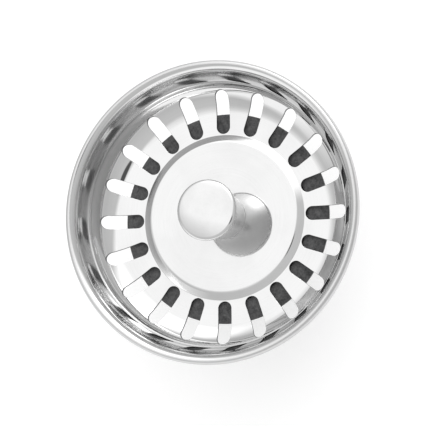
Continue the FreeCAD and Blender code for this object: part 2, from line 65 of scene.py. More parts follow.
# Outlines run clockwise in the (radius, height) plane, so the outside is to the left of the way.
# A run is its points and the way the surface faces at each of them.
def lineRun(start, end, steps=1):
    start, end = np.array(start, float), np.array(end, float)
    share = np.linspace(0, 1, steps + 1)[:, None]
    way = (end - start) / np.linalg.norm(end - start)
    facing = np.array([-way[1], way[0]])
    return start + (end - start) * share, np.repeat(facing[None, :], steps + 1, axis=0)


def arcRun(centre, radius, first, last, steps):
    angles = np.radians(np.linspace(first, last, steps + 1))
    spokes = np.stack([np.cos(angles), np.sin(angles)], axis=1)
    return np.array(centre) + radius * spokes, spokes if last < first else -spokes


# A patch is a grid of points with facings, and the quads between them
def gridQuads(rows, columns, closed):
    across = np.arange(columns if closed else columns - 1)
    nextAcross = (across + 1) % columns
    quads = []
    for row in range(rows - 1):
        low, high = row * columns, (row + 1) * columns
        quads.append(np.stack([low + across, low + nextAcross, high + nextAcross, high + across], axis=1))
    return np.concatenate(quads)


def lathe(runs, angles):
    patches = []
    turn = np.stack([np.cos(angles), np.sin(angles)], axis=1)
    for points, facings in runs:
        grids = []
        for values in (points, facings):
            flat = values[:, None, 0, None] * turn[None]
            up = np.repeat(values[:, None, 1, None], len(angles), axis=1)
            grids.append(np.concatenate([flat, up], axis=2).reshape(-1, 3))
        patches.append((*grids, gridQuads(len(points), len(angles), True)))
    return patches


weldStep = 1e-4  # mm


# One watertight mesh from patches in mm, with each corner's own facing kept for clean reflections
def buildPiece(name, patches):
    points = np.concatenate([patch[0] for patch in patches])
    facings = np.concatenate([patch[1] for patch in patches])
    starts = np.cumsum([0] + [len(patch[0]) for patch in patches])
    quads = np.concatenate([patch[2] + start for patch, start in zip(patches, starts)])
    _, firstOf, welded = np.unique(
        np.round(points / weldStep).astype(np.int64), axis=0, return_index=True, return_inverse=True)
    welded = welded.reshape(-1)
    corners = points[quads]
    made = np.cross(corners[:, 2] - corners[:, 0], corners[:, 3] - corners[:, 1])
    wanted = facings[quads].sum(axis=1)
    turned = (made * wanted).sum(axis=1) < 0
    quads[turned] = quads[turned][:, ::-1]
    faces, cornerFacings = [], []
    for quad, spots in zip(quads.tolist(), welded[quads].tolist()):
        kept = [index for index in range(4) if spots[index] != spots[index - 1]]
        if len(kept) < 3:
            continue
        faces.append([spots[index] for index in kept])
        cornerFacings.extend(facings[quad[index]] for index in kept)
    mesh = bpy.data.meshes.new(name)
    mesh.from_pydata((points[firstOf] * mm).tolist(), [], faces)
    mesh.polygons.foreach_set("use_smooth", [True] * len(mesh.polygons))
    mesh.normals_split_custom_set([tuple(facing) for facing in cornerFacings])
    mesh.update()
    piece = bpy.data.objects.new(name, mesh)
    bpy.context.scene.collection.objects.link(piece)
    return piece


def evenAngles(count):
    return 2 * math.pi * np.arange(count) / count


def finishPiece(piece, material, node):
    piece.data.materials.clear()
    piece.data.materials.append(material)
    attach(piece, mainBody)
    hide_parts(node)
    return piece


# Shader helpers
def newMaterial(name):
    material = bpy.data.materials.new(name)
    material.use_nodes = True
    nodes = material.node_tree.nodes
    return material, nodes, material.node_tree.links, nodes["Principled BSDF"]


def newGroup(name, inputs, outputs):
    group = bpy.data.node_groups.new(name, "ShaderNodeTree")
    for way, sockets in (("INPUT", inputs), ("OUTPUT", outputs)):
        for socket in sockets:
            group.interface.new_socket(name=socket, in_out=way, socket_type="NodeSocketFloat")
    entry = group.nodes.new("NodeGroupInput")
    leave = group.nodes.new("NodeGroupOutput")
    return group, entry, leave


def placeGroup(nodes, group, **values):
    node = nodes.new("ShaderNodeGroup")
    node.node_tree = group
    for socket, value in values.items():
        node.inputs[socket].default_value = value
    return node


def mathNode(nodes, links, operation, first, second=None):
    node = nodes.new("ShaderNodeMath")
    node.operation = operation
    for socket, source in zip(node.inputs, (first, second)):
        if source is None:
            continue
        if isinstance(source, (int, float)):
            socket.default_value = source
        else:
            links.new(source, socket)
    return node.outputs[0]


def rangeNode(nodes, links, source, low, high, fromLow=0.0, fromHigh=1.0):
    node = nodes.new("ShaderNodeMapRange")
    links.new(source, node.inputs["Value"])
    node.inputs["From Min"].default_value = fromLow
    node.inputs["From Max"].default_value = fromHigh
    node.inputs["To Min"].default_value = low
    node.inputs["To Max"].default_value = high
    return node.outputs["Result"]


def noiseNode(nodes, links, vector, scale, look):
    node = nodes.new("ShaderNodeTexNoise")
    links.new(vector, node.inputs["Vector"])
    if isinstance(scale, (int, float)):
        node.inputs["Scale"].default_value = scale
    else:
        links.new(scale, node.inputs["Scale"])
    node.inputs["Detail"].default_value = look["detail"]
    node.inputs["Roughness"].default_value = look["roughness"]
    return node.outputs["Fac"]


def bumpNode(nodes, links, height, strength, distance):
    node = nodes.new("ShaderNodeBump")
    node.inputs["Strength"].default_value = strength
    node.inputs["Distance"].default_value = distance
    links.new(height, node.inputs["Height"])
    return node.outputs["Normal"]


# Soft cloudy smudges of handling, as a mask from 0 to 1
smudgeLook = {"detail": 4.0, "roughness": 0.55, "from": 0.42, "to": 0.66}


def makeSmudges(look):
    group, entry, leave = newGroup("smudges", ["Scale"], ["Mask"])
    nodes, links = group.nodes, group.links
    place = nodes.new("ShaderNodeTexCoord").outputs["Object"]
    cloud = noiseNode(nodes, links, place, entry.outputs["Scale"], look)
    links.new(rangeNode(nodes, links, cloud, 0.0, 1.0, look["from"], look["to"]), leave.inputs["Mask"])
    return group


# Fine rings left by spinning, turning or buffing about the upright axis, with the distance from that axis
# and the height
ringLook = {"detail": 2.0, "roughness": 0.6, "from": 0.35, "to": 0.65}


def makeToolRings(look):
    group, entry, leave = newGroup("toolRings", ["Scale", "Sweep"], ["Height", "Mask", "Reach", "Up"])
    nodes, links = group.nodes, group.links
    split = nodes.new("ShaderNodeSeparateXYZ")
    links.new(nodes.new("ShaderNodeTexCoord").outputs["Object"], split.inputs["Vector"])
    across, along, up = split.outputs
    reach = mathNode(nodes, links, "SQRT", mathNode(
        nodes, links, "ADD", mathNode(nodes, links, "MULTIPLY", across, across),
        mathNode(nodes, links, "MULTIPLY", along, along)))
    around = mathNode(nodes, links, "ARCTAN2", along, across)
    join = nodes.new("ShaderNodeCombineXYZ")
    links.new(mathNode(nodes, links, "MULTIPLY", reach, entry.outputs["Scale"]), join.inputs["X"])
    links.new(mathNode(nodes, links, "MULTIPLY", up, entry.outputs["Scale"]), join.inputs["Y"])
    links.new(mathNode(nodes, links, "MULTIPLY", mathNode(nodes, links, "COSINE", around),
                       entry.outputs["Sweep"]), join.inputs["Z"])
    rings = noiseNode(nodes, links, join.outputs["Vector"], 1.0, look)
    links.new(rings, leave.inputs["Height"])
    links.new(rangeNode(nodes, links, rings, 0.0, 1.0, look["from"], look["to"]), leave.inputs["Mask"])
    links.new(reach, leave.inputs["Reach"])
    links.new(up, leave.inputs["Up"])
    return group


# Moulded rubber skin: a fine grain over slow swells
skinLook = {"grain": {"detail": 2.0, "roughness": 0.6}, "swell": {"detail": 3.0, "roughness": 0.5},
            "swellShare": 0.6, "from": 0.7, "to": 1.3}


def makeRubberSkin(look):
    group, entry, leave = newGroup("rubberSkin", ["Grain", "Swell"], ["Height", "Tone"])
    nodes, links = group.nodes, group.links
    place = nodes.new("ShaderNodeTexCoord").outputs["Object"]
    grain = noiseNode(nodes, links, place, entry.outputs["Grain"], look["grain"])
    swell = noiseNode(nodes, links, place, entry.outputs["Swell"], look["swell"])
    lower = mathNode(nodes, links, "MULTIPLY", swell, look["swellShare"])
    links.new(mathNode(nodes, links, "ADD", grain, lower), leave.inputs["Height"])
    both = mathNode(nodes, links, "ADD", grain, swell)
    links.new(rangeNode(nodes, links, both, 0.0, 1.0, look["from"], look["to"]), leave.inputs["Tone"])
    return group


smudges = makeSmudges(smudgeLook)
toolRings = makeToolRings(ringLook)
rubberSkin = makeRubberSkin(skinLook)


def mixColours(nodes, links, mask, low, high):
    node = nodes.new("ShaderNodeMix")
    node.data_type = "RGBA"
    if isinstance(low, tuple):
        node.inputs["A"].default_value = (*low, 1)
    else:
        links.new(low, node.inputs["A"])
    node.inputs["B"].default_value = (*high, 1)
    links.new(mask, node.inputs["Factor"])
    return node.outputs["Result"]


# 1 between two radii or heights in mm and 0 outside them, with soft edges
def bandMask(nodes, links, place, band):
    low, high, soft = (band[key] * mm for key in ("low", "high", "soft"))
    return mathNode(nodes, links, "MULTIPLY", rangeNode(nodes, links, place, 0.0, 1.0, low - soft, low + soft),
                    rangeNode(nodes, links, place, 1.0, 0.0, high - soft, high + soft))


# 1 on the upright faces that the punch left in the slots, which take a rougher finish and a painted shade
def cutAndShadeMask(nodes, links, reach, cutAndShade):
    split = nodes.new("ShaderNodeSeparateXYZ")
    links.new(nodes.new("ShaderNodeNewGeometry").outputs["Normal"], split.inputs["Vector"])
    upright = rangeNode(nodes, links, mathNode(nodes, links, "ABSOLUTE", split.outputs["Z"]), 1.0, 0.0,
                        cutAndShade["level"], cutAndShade["rounded"])
    return mathNode(nodes, links, "MULTIPLY", upright, bandMask(nodes, links, reach, cutAndShade))


def makeSteel(name, look):
    material, nodes, links, shader = newMaterial(name)
    shader.inputs["Metallic"].default_value = 1.0
    cloud = placeGroup(nodes, smudges, Scale=look["smudgeScale"])
    rings = placeGroup(nodes, toolRings, Scale=look["ringScale"], Sweep=look["ringSweep"])
    ringMarks = mathNode(nodes, links, "MULTIPLY", rings.outputs["Mask"], look["ringShare"])
    cloudMarks = mathNode(nodes, links, "MULTIPLY", cloud.outputs["Mask"], 1 - look["ringShare"])
    marks = mathNode(nodes, links, "ADD", ringMarks, cloudMarks)
    colour = mixColours(nodes, links, marks, look["high"], look["low"])
    haze = mathNode(nodes, links, "ADD",
                    rangeNode(nodes, links, cloud.outputs["Mask"], look["roughness"], look["hazed"]),
                    mathNode(nodes, links, "MULTIPLY", rings.outputs["Mask"], look["ringHaze"]))
    height = mathNode(nodes, links, "MULTIPLY", rings.outputs["Height"], look["ringDepth"])
    for band in look.get("bands", ()):
        mask = bandMask(nodes, links, rings.outputs[band["along"]], band)
        if "haze" in band:
            haze = mathNode(nodes, links, "ADD", haze, mathNode(nodes, links, "MULTIPLY", mask, band["haze"]))
        if "dull" in band:
            colour = mixColours(nodes, links, mask, colour, band["dull"])
        if "rise" in band:
            height = mathNode(nodes, links, "ADD", height, mathNode(nodes, links, "MULTIPLY", mask, band["rise"]))
        if "rippleDepth" in band:
            ripples = placeGroup(nodes, toolRings, Scale=band["rippleScale"], Sweep=band["rippleSweep"])
            swell = mathNode(nodes, links, "MULTIPLY", ripples.outputs["Height"], band["rippleDepth"])
            height = mathNode(nodes, links, "ADD", height, mathNode(nodes, links, "MULTIPLY", swell, mask))
    if "cutAndShade" in look:
        cutAndShade = cutAndShadeMask(nodes, links, rings.outputs["Reach"], look["cutAndShade"])
        # Painted shade: the slot walls are darkened near black to stand in for their shadow
        colour = mixColours(nodes, links, cutAndShade, colour, look["cutAndShade"]["colour"])
        haze = mathNode(nodes, links, "ADD", haze, mathNode(nodes, links, "MULTIPLY", cutAndShade, look["cutAndShade"]["haze"]))
    links.new(colour, shader.inputs["Base Color"])
    links.new(haze, shader.inputs["Roughness"])
    links.new(bumpNode(nodes, links, height, strength=1.0, distance=mm), shader.inputs["Normal"])
    return material


# Places and depths in mm. The sheet's bands are its step and upper wall, left hazy and rippled by drawing,
# a crease round the bend near the slots' outer ends, and the dull lip. The knob's band is its neck, less
# polished than its head. The cut is what the punch left in the slots: its faces are rougher, and are also
# darkened near black as a painted shade that stands in for the shadow in the slot walls.
steelLooks = {
    "polishedSteel": {
        "low": (0.64, 0.64, 0.64), "high": (0.70, 0.70, 0.70), "roughness": 0.035, "hazed": 0.06,
        "smudgeScale": 55.0, "ringScale": 5200.0, "ringSweep": 2.0,
        "ringShare": 0.3, "ringHaze": 0.012, "ringDepth": 0.0002,
        "bands": [
            {"along": "Reach", "low": 19.0, "high": 22.3, "soft": 0.5, "haze": 0.06,
             "rippleScale": 700.0, "rippleSweep": 1.5, "rippleDepth": 0.004},
            {"along": "Up", "low": -5.8, "high": 0.2, "soft": 0.5, "haze": 0.13,
             "rippleScale": 900.0, "rippleSweep": 0.4, "rippleDepth": 0.014},
            {"along": "Reach", "low": 33.25, "high": 33.55, "soft": 0.12, "rise": -0.05},
            {"along": "Reach", "low": 38.5, "high": 41.0, "soft": 0.4, "haze": 0.25, "dull": (0.60, 0.60, 0.60)}],
        # Painted shade: the colour darkens the slot walls to stand in for their shadow; the haze is the rougher
        # cut
        "cutAndShade": {"low": 22.0, "high": 34.0, "soft": 0.1, "level": 0.25, "rounded": 0.55,
                "colour": (0.10, 0.10, 0.105), "haze": 0.4}},
    "knobSteel": {
        "low": (0.64, 0.64, 0.64), "high": (0.70, 0.70, 0.70), "roughness": 0.05, "hazed": 0.09,
        "smudgeScale": 110.0, "ringScale": 5200.0, "ringSweep": 2.0,
        "ringShare": 0.2, "ringHaze": 0.01, "ringDepth": 0.0001,
        "bands": [
            {"along": "Up", "low": -20.0, "high": 2.7, "soft": 0.2, "haze": 0.30,
             "rippleScale": 2600.0, "rippleSweep": 1.2, "rippleDepth": 0.002}]},
    "satinSteel": {
        "low": (0.52, 0.52, 0.525), "high": (0.66, 0.66, 0.66), "roughness": 0.28, "hazed": 0.36,
        "smudgeScale": 45.0, "ringScale": 3800.0, "ringSweep": 2.5,
        "ringShare": 0.7, "ringHaze": 0.07, "ringDepth": 0.006},
    "turnedSteel": {
        "low": (0.58, 0.58, 0.585), "high": (0.72, 0.72, 0.72), "roughness": 0.17, "hazed": 0.24,
        "smudgeScale": 90.0, "ringScale": 4600.0, "ringSweep": 0.8,
        "ringShare": 0.7, "ringHaze": 0.06, "ringDepth": 0.008},
    "plainSteel": {
        "low": (0.48, 0.48, 0.485), "high": (0.62, 0.62, 0.62), "roughness": 0.24, "hazed": 0.34,
        "smudgeScale": 140.0, "ringScale": 2600.0, "ringSweep": 5.0,
        "ringShare": 0.7, "ringHaze": 0.05, "ringDepth": 0.005},
    "ballSteel": {
        "low": (0.74, 0.74, 0.745), "high": (0.80, 0.80, 0.80), "roughness": 0.06, "hazed": 0.10,
        "smudgeScale": 300.0, "ringScale": 6000.0, "ringSweep": 6.0,
        "ringShare": 0.7, "ringHaze": 0.02, "ringDepth": 0.0003},
    "springSteel": {
        "low": (0.42, 0.42, 0.425), "high": (0.56, 0.56, 0.56), "roughness": 0.26, "hazed": 0.36,
        "smudgeScale": 300.0, "ringScale": 7000.0, "ringSweep": 8.0,
        "ringShare": 0.7, "ringHaze": 0.05, "ringDepth": 0.001},
}
steels = {name: makeSteel(name, look) for name, look in steelLooks.items()}

rubberLook = {"low": (0.040, 0.040, 0.041), "high": (0.125, 0.125, 0.126), "shine": 0.25, "smooth": 0.50,
              "dull": 0.66, "grainScale": 2200.0, "swellScale": 700.0, "bump": 0.35, "bumpDepth": 0.04}


def makeRubber(name, look):
    material, nodes, links, shader = newMaterial(name)
    skin = placeGroup(nodes, rubberSkin, Grain=look["grainScale"], Swell=look["swellScale"])
    shader.inputs["Specular IOR Level"].default_value = look["shine"]
    links.new(mixColours(nodes, links, skin.outputs["Tone"], look["low"], look["high"]),
              shader.inputs["Base Color"])
    links.new(rangeNode(nodes, links, skin.outputs["Tone"], look["smooth"], look["dull"]),
              shader.inputs["Roughness"])
    links.new(bumpNode(nodes, links, skin.outputs["Height"], look["bump"], look["bumpDepth"] * mm),
              shader.inputs["Normal"])
    return material


rubber = makeRubber("mouldedRubber", rubberLook)
print("materials made:", len(steels) + 1)


# Basket: pressed sheet with a dished plateau, slotted ring, deep bend, steep wall and flared rim
basketSizes = {
    "rimDiameter": 79.6, "sheet": 0.7, "flareRadius": 2.5, "edgeRadius": 0.9, "edgeTilt": 20.0,
    "lipHeight": 0.93, "depth": 11.5, "wallLean": 1.5, "bendRadius": 10.0,
    "plateauRise": 0.45, "plateauDiameter": 38.538, "dishRadius": 350.0, "landDiameter": 13.0,
    "crestRadius": 2.5, "stepSlope": 24.0, "footRadius": 0.4, "holeDiameter": 6.3,
    "slotCount": 20, "slotWidth": 3.6, "slotFootGap": 0.2, "slotBendReach": 6.85, "slotEdgeRound": 0.08,
}
# How finely the basket is divided: steps per half sector, along each run and over the slot's rounded edge
basketSteps = {"arc": 9, "innerSide": 5, "straight": 16, "outerSide": 7, "across": 14, "edge": 5,
               "dish": 28, "crest": 10, "slope": 2, "foot": 8, "flare": 20, "rimEdge": 20}


def basketPlaces(size):
    at = {}
    lean, slope = math.radians(size["wallLean"]), math.radians(size["stepSlope"])
    at["ringZ"] = -size["depth"]
    at["landZ"] = at["ringZ"] + size["plateauRise"]
    at["holeR"] = size["holeDiameter"] / 2
    at["landR"] = size["landDiameter"] / 2
    at["dishZ"] = at["landZ"] + math.sqrt(size["dishRadius"] ** 2 - at["landR"] ** 2)
    at["plateauR"] = size["plateauDiameter"] / 2
    at["dishAngle"] = math.asin(at["plateauR"] / size["dishRadius"])
    at["plateauZ"] = at["dishZ"] - size["dishRadius"] * math.cos(at["dishAngle"])
    at["crestR"] = at["plateauR"] + size["crestRadius"] * math.sin(at["dishAngle"])
    at["crestZ"] = at["plateauZ"] - size["crestRadius"] * math.cos(at["dishAngle"])
    slopeTop = (at["crestR"] + size["crestRadius"] * math.sin(slope),
                at["crestZ"] + size["crestRadius"] * math.cos(slope))
    slopeEndZ = at["ringZ"] + size["footRadius"] * (1 - math.cos(slope))
    slopeEndR = slopeTop[0] + (slopeTop[1] - slopeEndZ) / math.tan(slope)
    at["footR"] = slopeEndR + size["footRadius"] * math.sin(slope)
    at["edgeR"] = size["rimDiameter"] / 2 - size["edgeRadius"]
    tilt, apart = math.radians(size["edgeTilt"]), size["flareRadius"] - size["edgeRadius"]
    at["flareR"] = at["edgeR"] + apart * math.sin(tilt)
    at["flareZ"] = size["lipHeight"] - apart * math.cos(tilt)
    at["wallTopR"] = at["flareR"] - size["flareRadius"] * math.cos(lean)
    wallTopZ = at["flareZ"] + size["flareRadius"] * math.sin(lean)
    wallFootZ = at["ringZ"] + size["bendRadius"] * (1 - math.sin(lean))
    wallFootR = at["wallTopR"] - (wallTopZ - wallFootZ) * math.tan(lean)
    at["ringEdgeR"] = wallFootR - size["bendRadius"] * math.cos(lean)
    at["slotInnerX"] = at["footR"] + size["slotFootGap"] + size["slotWidth"] / 2
    at["slotOuterX"] = at["ringEdgeR"] + size["slotBendReach"] - size["slotWidth"] / 2
    return at


# Height and slope of the slotted part of the sheet at a radius, "deep" mm below its upper face
def sheetAt(radius, deep, size, at):
    lean = math.radians(size["wallLean"])
    bend = size["bendRadius"] + deep
    footR = at["ringEdgeR"] + bend * math.cos(lean)
    footZ = at["ringZ"] + size["bendRadius"] - bend * math.sin(lean)
    into = np.clip(radius - at["ringEdgeR"], 0, footR - at["ringEdgeR"])
    fall = np.sqrt(bend ** 2 - into ** 2)
    height = at["ringZ"] + size["bendRadius"] - fall
    slope = into / fall
    onWall = radius > footR
    height = np.where(onWall, footZ + (radius - footR) / math.tan(lean), height)
    return height, np.where(onWall, 1 / math.tan(lean), slope)


# Way along the sheet's section from the axis to a radius, and back
def wayAlong(radius, deep, size, at):
    lean, bend = math.radians(size["wallLean"]), size["bendRadius"] + deep
    into = np.clip((radius - at["ringEdgeR"]) / bend, 0, math.cos(lean))
    onWall = np.maximum(radius - at["ringEdgeR"] - bend * math.cos(lean), 0)
    return np.minimum(radius, at["ringEdgeR"]) + bend * np.arcsin(into) + onWall / math.sin(lean)


def radiusAlong(way, deep, size, at):
    lean, bend = math.radians(size["wallLean"]), size["bendRadius"] + deep
    turn = np.clip((way - at["ringEdgeR"]) / bend, 0, math.pi / 2 - lean)
    onWall = np.maximum(way - at["ringEdgeR"] - bend * (math.pi / 2 - lean), 0)
    return np.minimum(way, at["ringEdgeR"]) + bend * np.sin(turn) + onWall * math.sin(lean)


# Half the slot's outline from its inner tip to its outer tip, with the matching points of the sector's edge
def halfSlot(size, at, deep, outerR):
    half = size["slotWidth"] / 2
    sector = math.pi / size["slotCount"]
    innerX, outerX, footR = at["slotInnerX"], at["slotOuterX"], at["footR"]
    innerTurn = math.atan2(footR * math.sin(sector), footR * math.cos(sector) - innerX)
    wallR = at["wallTopR"]
    outerTurn = math.atan2(wallR * math.sin(sector), wallR * math.cos(sector) - outerX)
    sideWay = np.array([math.cos(sector), math.sin(sector)])
    edge, away, border = [], [], []

    def add(x, angle, spot):
        facing = np.array([math.cos(angle), math.sin(angle)])
        edge.append(np.array([x, 0]) + half * facing)
        away.append(facing)
        border.append(spot)

    def onArc(radius, angle):
        return radius * np.array([math.cos(angle), math.sin(angle)])

    for share in np.linspace(0, 1, basketSteps["arc"] + 1):
        add(innerX, math.pi + (innerTurn - math.pi) * share, onArc(footR, sector * share))
    innerReach, outerReach = innerX / math.cos(sector), outerX / math.cos(sector)
    for share in np.linspace(0, 1, basketSteps["innerSide"] + 1)[1:]:
        add(innerX, innerTurn + (math.pi / 2 - innerTurn) * share,
            sideWay * (footR + (innerReach - footR) * share))
    for share in np.linspace(0, 1, basketSteps["straight"] + 1)[1:]:
        add(innerX + (outerX - innerX) * share, math.pi / 2,
            sideWay * (innerReach + (outerReach - innerReach) * share))
    firstWay, lastWay = (wayAlong(radius, deep, size, at) for radius in (outerReach, outerR))
    for share in np.linspace(0, 1, basketSteps["outerSide"] + 1)[1:]:
        add(outerX, math.pi / 2 + (outerTurn - math.pi / 2) * share,
            sideWay * radiusAlong(firstWay + (lastWay - firstWay) * share, deep, size, at))
    for share in np.linspace(0, 1, basketSteps["arc"] + 1)[1:]:
        add(outerX, outerTurn * (1 - share), onArc(outerR, sector * (1 - share)))
    return np.array(edge), np.array(away), np.array(border)


def wholeLoop(half):
    mirrored = half[-2:0:-1] * np.array([1, -1])
    return np.concatenate([half, mirrored])


# One face of the sheet round one slot, from the slot's edge out to the sector's edge
def slotFace(size, at, deep, outerR):
    edge, away, border = (wholeLoop(part) for part in halfSlot(size, at, deep, outerR))
    side = 1 if deep == 0 else -1
    rounding = size["slotEdgeRound"]
    points, facings = [], []

    def addRing(flat, roll):
        radius = np.linalg.norm(flat, axis=1)
        height, slope = sheetAt(radius, deep, size, at)
        drop = rounding * (1 - math.sin(roll))
        points.append(np.column_stack([flat, height - side * drop]))
        outward = flat / radius[:, None]
        lean = -math.sin(roll) * slope[:, None] * outward * side - math.cos(roll) * away
        facing = np.column_stack([lean, np.full(len(flat), side * math.sin(roll))])
        facings.append(facing / np.linalg.norm(facing, axis=1)[:, None])

    for roll in np.linspace(0, math.pi / 2, basketSteps["edge"] + 1):
        addRing(edge + away * rounding * (1 - math.cos(roll)), roll)
    # Rings from the slot to the sector's edge, even along the sheet, so that the bend stays round
    ends = [(wayAlong(np.linalg.norm(flat, axis=1), deep, size, at), np.arctan2(flat[:, 1], flat[:, 0]))
            for flat in (edge + away * rounding, border)]
    (firstWay, firstTurn), (lastWay, lastTurn) = ends
    for share in np.linspace(0, 1, basketSteps["across"] + 1)[1:]:
        radius = radiusAlong(firstWay + (lastWay - firstWay) * share, deep, size, at)
        turn = firstTurn + (lastTurn - firstTurn) * share
        addRing(np.column_stack([radius * np.cos(turn), radius * np.sin(turn)]), math.pi / 2)
    return np.array(points), np.array(facings), away


def slottedRing(size, at):
    lean = math.radians(size["wallLean"])
    upper, upperFacings, away = slotFace(size, at, 0, at["wallTopR"])
    underTopR = at["wallTopR"] + size["sheet"] * math.cos(lean)
    lower, lowerFacings, _ = slotFace(size, at, size["sheet"], underTopR)
    walls = np.array([upper[0], lower[0]])
    wallFacings = np.repeat(np.column_stack([-away, np.zeros(len(away))])[None], 2, axis=0)
    patches = []
    for points, facings in ((upper, upperFacings), (lower, lowerFacings), (walls, wallFacings)):
        rows, columns = points.shape[:2]
        quads = gridQuads(rows, columns, True)
        for index in range(size["slotCount"]):
            angle = 2 * math.pi * index / size["slotCount"]
            turn = np.array(Matrix.Rotation(angle, 3, "Z"))
            patches.append((points.reshape(-1, 3) @ turn.T, facings.reshape(-1, 3) @ turn.T, quads))
    return patches


def makeBasket(size):
    at = basketPlaces(size)
    sheet, ringZ, slope = size["sheet"], at["ringZ"], size["stepSlope"]
    angles = evenAngles(2 * basketSteps["arc"] * size["slotCount"])
    dishTurn = math.degrees(at["dishAngle"])
    dishCentre = (0, at["dishZ"])
    crest, foot = (at["crestR"], at["crestZ"]), (at["footR"], ringZ + size["footRadius"])
    landTurn = math.degrees(math.asin(at["landR"] / size["dishRadius"]))
    underR = size["dishRadius"] + sheet
    underTurn = math.degrees(math.acos((at["dishZ"] - at["landZ"] + sheet) / underR))

    def dishArc(radius, first, last):
        return arcRun(dishCentre, radius, first - 90, last - 90, basketSteps["dish"])

    upperDish = dishArc(size["dishRadius"], landTurn, dishTurn)
    upperCrest = arcRun(crest, size["crestRadius"], 90 + dishTurn, 90 - slope, basketSteps["crest"])
    upperFoot = arcRun(foot, size["footRadius"], 270 - slope, 270, basketSteps["foot"])
    lowerFoot = arcRun(foot, size["footRadius"] + sheet, 270, 270 - slope, basketSteps["foot"])
    lowerCrest = arcRun(crest, size["crestRadius"] - sheet, 90 - slope, 90 + dishTurn, basketSteps["crest"])
    lowerDish = dishArc(underR, dishTurn, underTurn)
    land = (at["holeR"], at["landZ"])
    landUnder = (at["holeR"], at["landZ"] - sheet)
    upperSlope = lineRun(upperCrest[0][-1], upperFoot[0][0], basketSteps["slope"])
    lowerSlope = lineRun(lowerFoot[0][-1], lowerCrest[0][0], basketSteps["slope"])
    centre = [
        lineRun(land, upperDish[0][0]), upperDish, upperCrest, upperSlope, upperFoot,
        lowerFoot, lowerSlope, lowerCrest, lowerDish, lineRun(lowerDish[0][-1], landUnder),
        lineRun(landUnder, land)]
    flare, rimEdge = (at["flareR"], at["flareZ"]), (at["edgeR"], size["lipHeight"])
    wallTurn, joinTurn = 180 - size["wallLean"], 90 + size["edgeTilt"]
    upperFlare = arcRun(flare, size["flareRadius"], wallTurn, joinTurn, basketSteps["flare"])
    upperEdge = arcRun(rimEdge, size["edgeRadius"], joinTurn, 0, basketSteps["rimEdge"])
    lowerEdge = arcRun(rimEdge, size["edgeRadius"] - sheet, 0, joinTurn, basketSteps["rimEdge"])
    lowerFlare = arcRun(flare, size["flareRadius"] - sheet, joinTurn, wallTurn, basketSteps["flare"])
    rimR = size["rimDiameter"] / 2
    seat, inside = (rimR, 0), (rimR - sheet, 0)
    rim = [upperFlare, upperEdge, lineRun(upperEdge[0][-1], seat), lineRun(seat, inside),
           lineRun(inside, lowerEdge[0][0]), lowerEdge, lowerFlare]
    return buildPiece("basketShell", slottedRing(size, at) + lathe(centre, angles) + lathe(rim, angles))


basket = finishPiece(makeBasket(basketSizes), steels["polishedSteel"], "basket")
print("basket made:", len(basket.data.polygons), "faces")


# Pull knob: solid turned mushroom with a slightly waisted neck, rounded lip, soft shoulder and low dome
knobSizes = {"boreDiameter": 6.1, "baseDiameter": 12.0, "baseRound": 0.4, "baseBand": 1.2, "flareRadius": 24.0,
             "headDiameter": 16.0, "headHeight": 14.5, "lipRadius": 0.7, "lipUnder": 60.0, "shoulderRadius": 2.5,
             "shoulderTilt": 25.0, "domeRadius": 36.0, "boreDepth": 8.5, "drillPoint": 118.0}
knobSteps = {"dome": 40, "shoulder": 16, "lip": 32, "flare": 40, "baseRound": 8, "around": 192}


def makeKnob(size, landZ):
    base, bore = size["baseDiameter"] / 2, size["boreDiameter"] / 2
    lip = np.array([size["headDiameter"] / 2 - size["lipRadius"], landZ + size["headHeight"]])
    tilt, rounder = math.radians(size["shoulderTilt"]), size["shoulderRadius"] - size["lipRadius"]
    shoulder = lip - rounder * np.array([math.sin(tilt), math.cos(tilt)])
    domeReach = size["domeRadius"] - size["shoulderRadius"]
    domeTurn = math.degrees(math.acos(shoulder[0] / domeReach))
    domeZ = shoulder[1] - domeReach * math.sin(math.radians(domeTurn))
    lipTurn = 90 - size["shoulderTilt"]
    dome = arcRun((0, domeZ), size["domeRadius"], 90, domeTurn, knobSteps["dome"])
    shoulderArc = arcRun(shoulder, size["shoulderRadius"], domeTurn, lipTurn, knobSteps["shoulder"])
    lipArc = arcRun(lip, size["lipRadius"], lipTurn, -size["lipUnder"], knobSteps["lip"])
    neckTop, neckFoot = lipArc[0][-1], np.array([base, landZ + size["baseBand"]])
    chord = neckTop - neckFoot
    across = np.array([chord[1], -chord[0]]) / np.linalg.norm(chord)
    rise = math.sqrt(size["flareRadius"] ** 2 - (np.linalg.norm(chord) / 2) ** 2)
    hollow = (neckTop + neckFoot) / 2 + across * rise
    turns = [math.degrees(math.atan2(*(spot - hollow)[::-1])) % 360 for spot in (neckTop, neckFoot)]
    flare = arcRun(hollow, size["flareRadius"], *turns, knobSteps["flare"])
    corner = size["baseRound"]
    baseRound = arcRun((base - corner, landZ + corner), corner, 0, -90, knobSteps["baseRound"])
    boreTop = landZ + size["boreDepth"]
    point = bore / math.tan(math.radians(size["drillPoint"] / 2))
    runs = [
        dome, shoulderArc, lipArc, flare, lineRun(neckFoot, baseRound[0][0]), baseRound,
        lineRun(baseRound[0][-1], (bore, landZ)), lineRun((bore, landZ), (bore, boreTop)),
        lineRun((bore, boreTop), (0, boreTop + point))]
    return buildPiece("pullKnobTurned", lathe(runs, evenAngles(knobSteps["around"])))


landZ = basketPlaces(basketSizes)["landZ"]
finishPiece(makeKnob(knobSizes, landZ), steels["knobSteel"], "pull_knob")
print("knob made")


# Catch spring: a coil about X, made as two halves that each have their own mesh
springSizes = {"meanDiameter": 2.3, "wireDiameter": 0.4, "turns": 3.25, "halfLength": 1.5, "height": -31.45,
               "perTurn": 48, "around": 16, "keep": 0.7}


